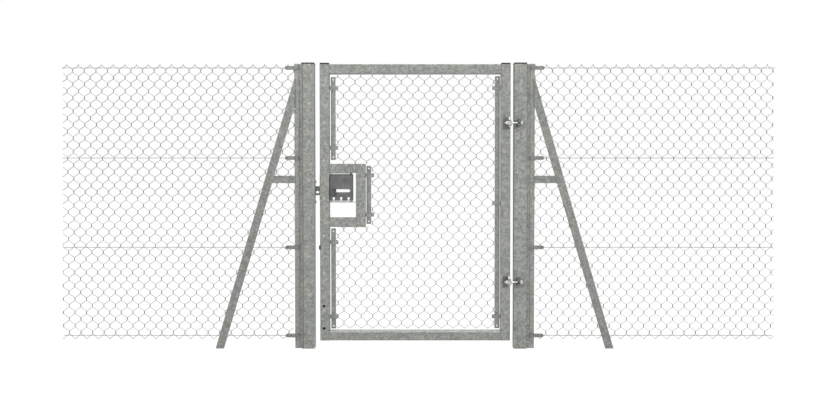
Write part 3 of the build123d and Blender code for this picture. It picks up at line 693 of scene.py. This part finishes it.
def strip_ends():
    """Steel ends of the strips above and below the lock case."""
    case_low, case_high = limits("lock_case")
    low, high = limits("lock_strips")
    corners = []
    for left, right in ((case_low.x, low.x), (high.x, case_high.x)):
        for bottom, top in ((case_high.z, high.z), (low.z, case_low.z)):
            corners.append(((left, low.y, bottom), (right, high.y, top)))
    piece = boxes("strip_ends", corners, STEEL)
    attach(piece, "leaf")


def eyelet(x, y, z):
    """Closed ring that lines a lug's hole."""
    ring = []
    for step in range(EYELET_STEPS + 1):
        angle = 2 * math.pi * step / EYELET_STEPS
        ring.append((x + EYELET_RADIUS * math.cos(angle), y, z + EYELET_RADIUS * math.sin(angle)))
    return ring


def leaf_rivets():
    """Rivets in the holes of the leaf's lugs."""
    low, high = limits("leaf_lugs")
    rows = (
        (limits("latch_stile")[1].x + LEAF_HOLE_REACH, LEFT_LUG_LEVELS),
        (limits("hinge_stile")[0].x - LEAF_HOLE_REACH, RIGHT_LUG_LEVELS),
        (limits("lock_frame_side")[1].x + LEAF_HOLE_REACH, LOCK_LUG_LEVELS),
    )
    runs = [[(x, low.y, level), (x, high.y, level)] for x, levels in rows for level in levels]
    piece = swept("leaf_rivets", runs, RIVET_RADIUS, RIVET_SIDES, RIVET_STEEL)
    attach(piece, "leaf")


def fence_eyelets():
    """Rings in the holes of the fence lugs."""
    for side in ("left", "right"):
        low, high = limits(side + "_wire_lugs")
        x = low.x + LUG_END if side == "left" else high.x - LUG_END
        y = high.y - LUG_THICKNESS / 2
        rings = [eyelet(x, y, level) for level in FENCE_LUG_LEVELS]
        piece = swept(side + "_eyelets", rings, EYELET_WIRE, EYELET_SIDES, STRIP_STEEL)
        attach(piece, "root")


def stop_pad():
    """Dark pad on the leaf's stop."""
    stile = limits("latch_stile")[0]
    low, high = limits("leaf_stop")
    start = (low.x, stile.y - DARK_STRIP_PROUD, low.z)
    end = (stile.x + PAD_REACH, stile.y + PAD_DEPTH, high.z)
    piece = boxes("stop_pad", [(start, end)], CAP)
    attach(piece, "leaf")


def hole_shade_plugs():
    """Black plugs in the drop bolt's holes, painted shade of the stile's dark inside."""
    stile = limits("latch_stile")[0]
    x = stile.x + DROP_HOLE_INSET
    front = stile.y - HOLE_SHADE_PROUD
    seat = stile.y + HOLE_SHADE_SEAT
    runs = [[(x, front, level), (x, seat, level)] for level in DROP_HOLE_LEVELS]
    piece = swept("drop_hole_shade", runs, HOLE_SHADE_RADIUS, HOLE_SHADE_SIDES, CAP)
    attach(piece, "leaf")


def rounded_prism(low, high, corner):
    """Points and faces of an upright block with round vertical edges."""
    ring = []
    centres = (
        (high[0] - corner, high[1] - corner, 0),
        (low[0] + corner, high[1] - corner, 90),
        (low[0] + corner, low[1] + corner, 180),
        (high[0] - corner, low[1] + corner, 270),
    )
    for x, y, turn in centres:
        for step in range(CORNER_STEPS + 1):
            angle = math.radians(turn + 90 * step / CORNER_STEPS)
            ring.append((x + corner * math.cos(angle), y + corner * math.sin(angle)))
    count = len(ring)
    points = [(x, y, z) for z in (low[2], high[2]) for x, y in ring]
    faces = [[i, (i + 1) % count, (i + 1) % count + count, i + count] for i in range(count)]
    faces += [list(range(count - 1, -1, -1)), list(range(count, 2 * count))]
    return points, faces


def cap_rims():
    """Dark rims of the two post caps, down over the posts' tops."""
    for name in ("latch_post", "hinge_post"):
        low, high = limits(name)
        start = (low.x - RIM_PROUD, low.y - RIM_PROUD, high.z - RIM_DROP)
        end = (high.x + RIM_PROUD, high.y + RIM_PROUD, limits(name + "_cap")[1].z)
        mesh = bpy.data.meshes.new(name + "_cap_rim")
        points, faces = rounded_prism(start, end, RIM_CORNER)
        mesh.from_pydata(points, [], faces)
        mesh.materials.append(CAP)
        piece = bpy.data.objects.new(name + "_cap_rim", mesh)
        bpy.context.scene.collection.objects.link(piece)
        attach(piece, "root")


def leaf_edges():
    """Painted highlight along the bottom rail's top edge, edge of the hinge side's bar, welds of the lower
    corners.
    """
    left = limits("latch_stile")[1].x
    right = limits("hinge_stile")[0].x
    low, high = limits("bottom_rail")
    bar_low, bar_high = limits("leaf_bars")
    front = low.y - WELD_PROUD
    seam = high.z - HIGHLIGHT_BAND_HEIGHT
    # Painted highlight of the rail's lit top edge, over its top and the top of its front
    band = [((left, front, seam), (right, high.y, high.z + WELD_PROUD))]
    edge = [((bar_high.x, bar_low.y, bar_low.z), (bar_high.x + BAR_EDGE, bar_high.y, bar_high.z))]
    welds = []
    for middle in (left - WELD_SHIFT, right + WELD_SHIFT):
        start = (middle - WELD_REACH / 2, front, low.z + WELD_FOOT)
        end = (middle + WELD_REACH / 2, low.y + WELD_DEPTH, seam)
        welds.append((start, end))
    groups = (
        ("rail_highlight_band", band, PALE_STEEL),
        ("bar_edge", edge, STRIP_STEEL),
        ("corner_welds", welds, STEEL),
    )
    for name, corners, finish in groups:
        piece = boxes(name, corners, finish)
        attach(piece, "leaf")


def background(tree, colour, strength):
    """One Background node of the world."""
    node = tree.nodes.new("ShaderNodeBackground")
    node.inputs["Color"].default_value = (*colour, 1.0)
    node.inputs["Strength"].default_value = strength
    return node


def studio_world():
    """Soft sky for the light, plain white for the camera."""
    scene = bpy.context.scene
    scene.view_settings.view_transform = "Standard"
    world = bpy.data.worlds.new("studio_world")
    scene.world = world
    world.use_nodes = True
    tree = world.node_tree
    tree.nodes.clear()
    out = tree.nodes.new("ShaderNodeOutputWorld")
    soft = background(tree, SKY_COLOUR, SKY_STRENGTH)
    white = background(tree, (1.0, 1.0, 1.0), 1.0)
    ray = tree.nodes.new("ShaderNodeLightPath")
    mix = tree.nodes.new("ShaderNodeMixShader")
    tree.links.new(ray.outputs["Is Camera Ray"], mix.inputs[0])
    tree.links.new(soft.outputs[0], mix.inputs[1])
    tree.links.new(white.outputs[0], mix.inputs[2])
    tree.links.new(mix.outputs[0], out.inputs["Surface"])


def floor_white():
    """White floor that the camera sees paler than the lamps do."""
    s = Shader("floor_white")
    diffuse = s.node("ShaderNodeBsdfDiffuse")
    diffuse.inputs["Color"].default_value = (*FLOOR_WHITE, 1.0)
    glow = s.node("ShaderNodeEmission")
    glow.inputs["Strength"].default_value = FLOOR_GLOW
    path = s.node("ShaderNodeLightPath")
    share = Sock(s.tree, path.outputs["Is Camera Ray"]) * GLOW_GAIN + GLOW_BASE
    blend = s.node("ShaderNodeMixShader")
    plug(s.tree, blend.inputs[0], share)
    s.tree.links.new(diffuse.outputs[0], blend.inputs[1])
    s.tree.links.new(glow.outputs[0], blend.inputs[2])
    s.tree.links.new(blend.outputs[0], s.out.inputs["Surface"])
    return s.material


def studio_floor():
    """Wide floor at ground level."""
    mesh = bpy.data.meshes.new("floor")
    reach = FLOOR_REACH
    corners = [(-reach, -reach, 0), (reach, -reach, 0), (reach, reach, 0), (-reach, reach, 0)]
    mesh.from_pydata(corners, [], [(0, 1, 2, 3)])
    mesh.materials.append(floor_white())
    floor = bpy.data.objects.new("floor", mesh)
    bpy.context.scene.collection.objects.link(floor)


def studio_lamps():
    """Soft lamps that face the gate's middle."""
    target = Vector((CAMERA_X, 0.0, AIM_HEIGHT))
    for name, place, size, power in LAMPS:
        light = bpy.data.lights.new(name, "AREA")
        light.size = size
        light.energy = power
        lamp = bpy.data.objects.new(name, light)
        lamp.location = place
        lamp.rotation_euler = (target - Vector(place)).to_track_quat("-Z", "Y").to_euler()
        bpy.context.scene.collection.objects.link(lamp)


def studio_camera():
    """Camera square on to the gate, tipped down a little."""
    scene = bpy.context.scene
    data = bpy.data.cameras.new("camera")
    data.lens = LENS
    data.sensor_width = SENSOR
    camera = bpy.data.objects.new("camera", data)
    tilt = math.radians(CAMERA_TILT)
    rise = CAMERA_DISTANCE * math.sin(tilt)
    camera.location = (CAMERA_X, -CAMERA_DISTANCE * math.cos(tilt), AIM_HEIGHT + rise)
    camera.rotation_euler = (math.radians(90) - tilt, 0, 0)
    scene.collection.objects.link(camera)
    scene.camera = camera


SWEEP = sweep_tree()
dress_nodes()
weave()
case_shadow_strips()
strip_ends()
stop_pad()
hole_shade_plugs()
cap_rims()
leaf_edges()
leaf_rivets()
fence_eyelets()
studio_world()
studio_floor()
studio_lamps()
studio_camera()
